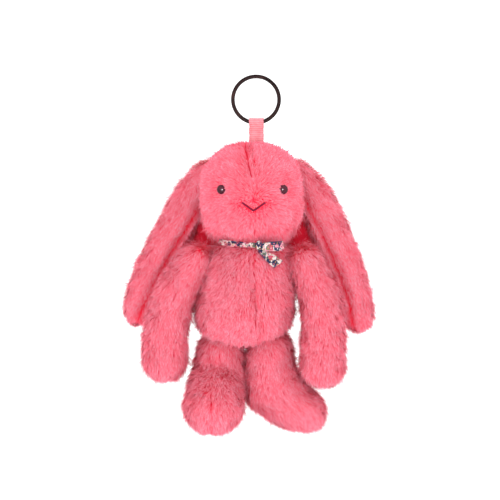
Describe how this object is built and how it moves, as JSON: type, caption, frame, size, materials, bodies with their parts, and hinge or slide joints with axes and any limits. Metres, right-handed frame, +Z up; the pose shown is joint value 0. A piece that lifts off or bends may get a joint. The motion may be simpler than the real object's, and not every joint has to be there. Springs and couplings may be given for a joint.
{
  "type": "plush keychain",
  "caption": "Pink long-pile plush rabbit with lop ears and a printed neck bow, hung by a ribbon tab from a split ring.",
  "frame": {"origin": "centre of the split ring, which lies in the X-Z plane", "axes": "+Z up with the toy hanging below the ring; the rabbit faces -Y; +X is to the right of someone facing it"},
  "size_m": [0.1243, 0.0455, 0.1776],
  "materials": {
    "ring_metal": "gloss",
    "tab_ribbon": "matte",
    "plush_fur": "matte",
    "ear_lining": "matte",
    "stuffing": "matte",
    "print_ribbon": "matte",
    "eye_plastic": "gloss",
    "washer_plastic": "matte",
    "nose_thread": "matte"
  },
  "bodies": {
    "ring": {"split_ring": "ring_metal"},
    "tab": {"ribbon_tab": "tab_ribbon"},
    "head": {"tab_root": "tab_ribbon", "head_front_left": "plush_fur", "head_front_right": "plush_fur", "head_back": "plush_fur", "head_stuffing": "stuffing", "eye_left": "eye_plastic", "eye_right": "eye_plastic", "eye_washer_left": "washer_plastic", "eye_washer_right": "washer_plastic", "nose_stitch": "nose_thread"},
    "neck_band": {"neck_ribbon": "print_ribbon", "bow_knot": "print_ribbon", "bow_loop": "print_ribbon", "bow_tail": "print_ribbon"},
    "torso": {"body_front_left": "plush_fur", "body_front_right": "plush_fur", "body_back": "plush_fur", "body_stuffing": "stuffing"},
    "left_ear": {"ear_left_outer": "plush_fur", "ear_left_lining": "ear_lining"},
    "right_ear": {"ear_right_outer": "plush_fur", "ear_right_lining": "ear_lining"},
    "left_arm": {"arm_left_front": "plush_fur", "arm_left_back": "plush_fur", "arm_left_stuffing": "stuffing"},
    "right_arm": {"arm_right_front": "plush_fur", "arm_right_back": "plush_fur", "arm_right_stuffing": "stuffing"},
    "left_leg": {"leg_left_inner": "plush_fur", "leg_left_outer": "plush_fur", "leg_left_stuffing": "stuffing"},
    "right_leg": {"leg_right_back": "plush_fur", "leg_right_front": "plush_fur", "leg_right_stuffing": "stuffing"}
  },
  "joints": [
    {"name": "ring_swing", "type": "hinge", "parent": "ring", "child": "tab", "pos_m": [0.0002, 0, -0.0113], "axis": [1, 0, 0], "range_deg": [-80, 80]},
    {"name": "tab_flex", "type": "hinge", "parent": "tab", "child": "head", "pos_m": [0.0002, 0, -0.02], "axis": [1, 0, 0], "range_deg": [-40, 40]},
    {"name": "head_turn", "type": "hinge", "parent": "head", "child": "neck_band", "pos_m": [-0.0022, 0, -0.07], "axis": [0, 0, 1], "range_deg": [-7, 7], "stiffness_Nm_per_rad": 0.02},
    {"name": "neck_nod", "type": "hinge", "parent": "neck_band", "child": "torso", "pos_m": [-0.0022, 0, -0.07], "axis": [-1, 0, 0], "range_deg": [-5, 5], "stiffness_Nm_per_rad": 0.03},
    {"name": "left_ear_lift", "type": "hinge", "parent": "head", "child": "left_ear", "pos_m": [-0.026, 0.01, -0.0355], "axis": [0, 1, 0], "range_deg": [0, 110]},
    {"name": "right_ear_lift", "type": "hinge", "parent": "head", "child": "right_ear", "pos_m": [0.0215, 0.01, -0.0355], "axis": [0, -1, 0], "range_deg": [0, 110]},
    {"name": "left_arm_raise", "type": "hinge", "parent": "torso", "child": "left_arm", "pos_m": [-0.027, -0.006, -0.079], "axis": [-1, 0, 0], "range_deg": [0, 90]},
    {"name": "right_arm_raise", "type": "hinge", "parent": "torso", "child": "right_arm", "pos_m": [0.0225, -0.006, -0.079], "axis": [-1, 0, 0], "range_deg": [0, 90]},
    {"name": "left_leg_swing", "type": "hinge", "parent": "torso", "child": "left_leg", "pos_m": [-0.0176, 0.002, -0.126], "axis": [-1, 0, 0], "range_deg": [-20, 50], "stiffness_Nm_per_rad": 0.03},
    {"name": "right_leg_swing", "type": "hinge", "parent": "torso", "child": "right_leg", "pos_m": [0.0068, 0.002, -0.126], "axis": [-0.7071, 0, -0.7071], "range_deg": [-10, 30], "stiffness_Nm_per_rad": 0.03}
  ]
}
